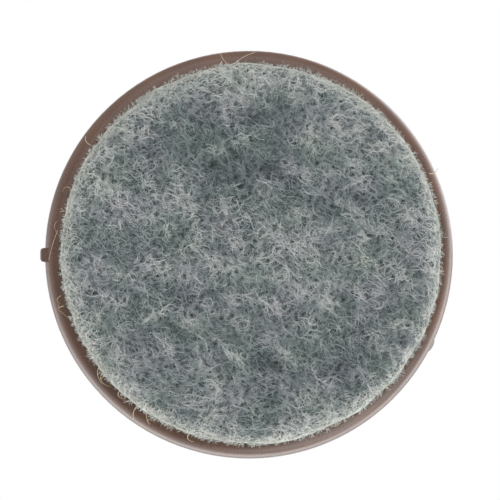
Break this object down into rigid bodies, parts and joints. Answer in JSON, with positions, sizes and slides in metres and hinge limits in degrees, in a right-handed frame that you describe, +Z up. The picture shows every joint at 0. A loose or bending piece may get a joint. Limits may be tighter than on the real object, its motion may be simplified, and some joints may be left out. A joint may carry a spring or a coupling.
{
  "type": "felt polishing wheel",
  "caption": "Round felt pad glued to a moulded plastic backing plate with a brass thread insert, screwed onto a straight-shank steel mandrel.",
  "frame": {"origin": "centre of the felt's polishing face", "axes": "+Y along the spin axis, from the polishing face towards the shank's free end; +Z up; the moulding gate's stub is at -X"},
  "size_m": [0.0253, 0.0441, 0.025],
  "materials": {
    "felt": "needle-punched grey wool and polyester felt, fuzzy",
    "adhesive": "dried contact adhesive",
    "brown_plastic": "brown moulded plastic, satin",
    "insert_brass": "machined brass with a straight knurl",
    "washer_zinc": "zinc-plated steel",
    "mandrel_steel": "turned and ground steel"
  },
  "bodies": {
    "mandrel": {"mandrel": "mandrel_steel"},
    "washers": {"flat_washer": "washer_zinc", "lock_washer": "washer_zinc"},
    "wheel": {"backing_plate": "brown_plastic", "threaded_insert": "insert_brass", "adhesive_film": "adhesive", "felt_disc": "felt"}
  },
  "joints": [
    {"name": "wheel_advance", "type": "slide", "parent": "mandrel", "child": "washers", "axis": [0, -1, 0], "range_m": [0, 0.0046]},
    {"name": "wheel_turn", "type": "hinge", "parent": "washers", "child": "wheel", "pos_m": [0, 0, 0], "axis": [0, -1, 0], "range_deg": [0, 2340]}
  ],
  "couplings": [
    {"joint": "wheel_advance", "follows": "wheel_turn", "m_per_rad": 0.00011141}
  ]
}
